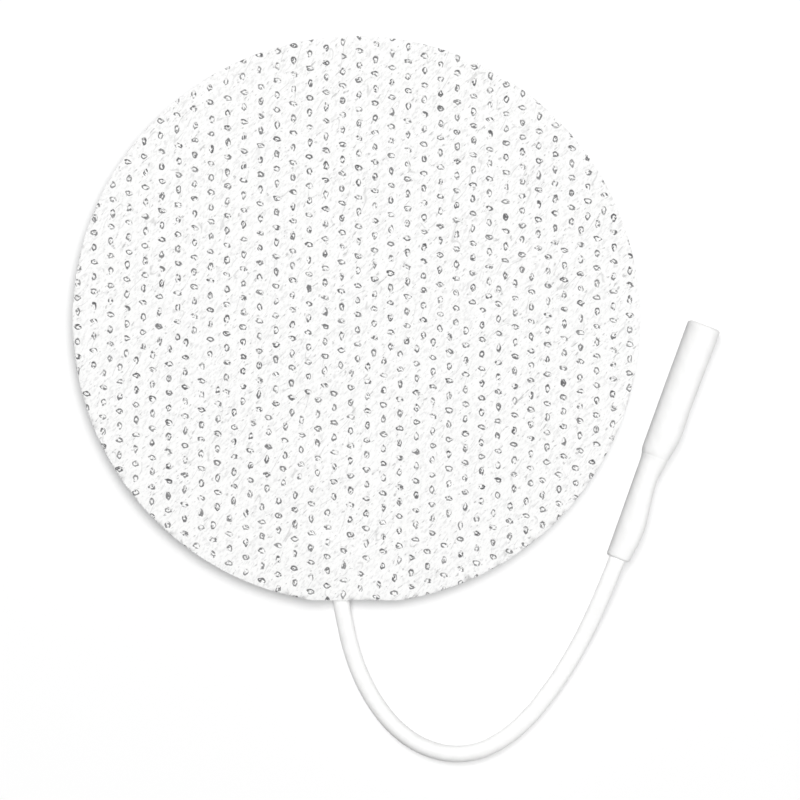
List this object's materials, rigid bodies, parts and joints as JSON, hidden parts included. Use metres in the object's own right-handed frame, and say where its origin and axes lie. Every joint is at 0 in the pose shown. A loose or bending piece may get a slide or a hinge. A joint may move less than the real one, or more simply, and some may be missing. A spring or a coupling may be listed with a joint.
{
  "type": "tens electrode pad",
  "caption": "Round self-adhesive electrode pad: point-bonded cloth over a conductive film and sticky gel, with a short lead that ends in a moulded pin socket.",
  "frame": {"origin": "centre of the pad's circle, on the gel face that sticks to the skin", "axes": "+Z out of the cloth side, away from the skin; +Y away from the edge where the lead leaves; +X to the side that the lead bends to"},
  "size_m": [0.0579, 0.0651, 0.003],
  "materials": {
    "cloth": "matt white non-woven",
    "carbon_film": "matt black carbon-filled film",
    "gel": "moist translucent gel",
    "lead_jacket": "soft satin white jacket",
    "housing_plastic": "satin white moulding",
    "contact_metal": "nickel-plated brass",
    "tinned_copper": "tinned copper strand"
  },
  "bodies": {
    "root": {"backing_cloth": "cloth", "conductive_film": "carbon_film", "hydrogel": "gel", "conductor_fan": "tinned_copper", "lead_wire": "lead_jacket", "conductor_crimp_end": "tinned_copper", "socket_housing": "housing_plastic", "socket_contact": "contact_metal"}
  },
  "joints": []
}
